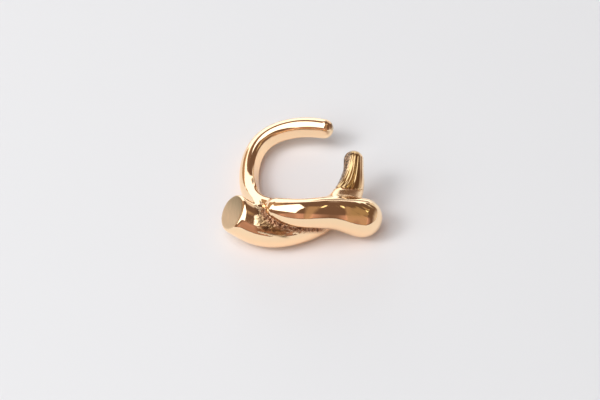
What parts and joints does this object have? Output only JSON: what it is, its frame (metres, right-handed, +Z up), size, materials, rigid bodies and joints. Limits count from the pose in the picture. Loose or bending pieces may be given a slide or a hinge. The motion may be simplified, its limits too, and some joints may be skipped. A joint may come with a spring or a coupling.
{
  "type": "ear cuff",
  "caption": "Open C-shaped ear cuff in polished gold-coloured metal, with two crossing strands at the front, a round knob, a flat cut end and a short post.",
  "frame": {"origin": "on the surface that the cuff lies on, under the middle of its box", "axes": "+Z up from the surface, along the ring's through direction; +Y from the crossed strands towards the back of the ring; +X towards the knob"},
  "size_m": [0.016, 0.0166, 0.0053],
  "materials": {
    "gold": "polished gold plating, with a satin cut face"
  },
  "bodies": {
    "root": {"cuff_body": "gold"}
  },
  "joints": []
}
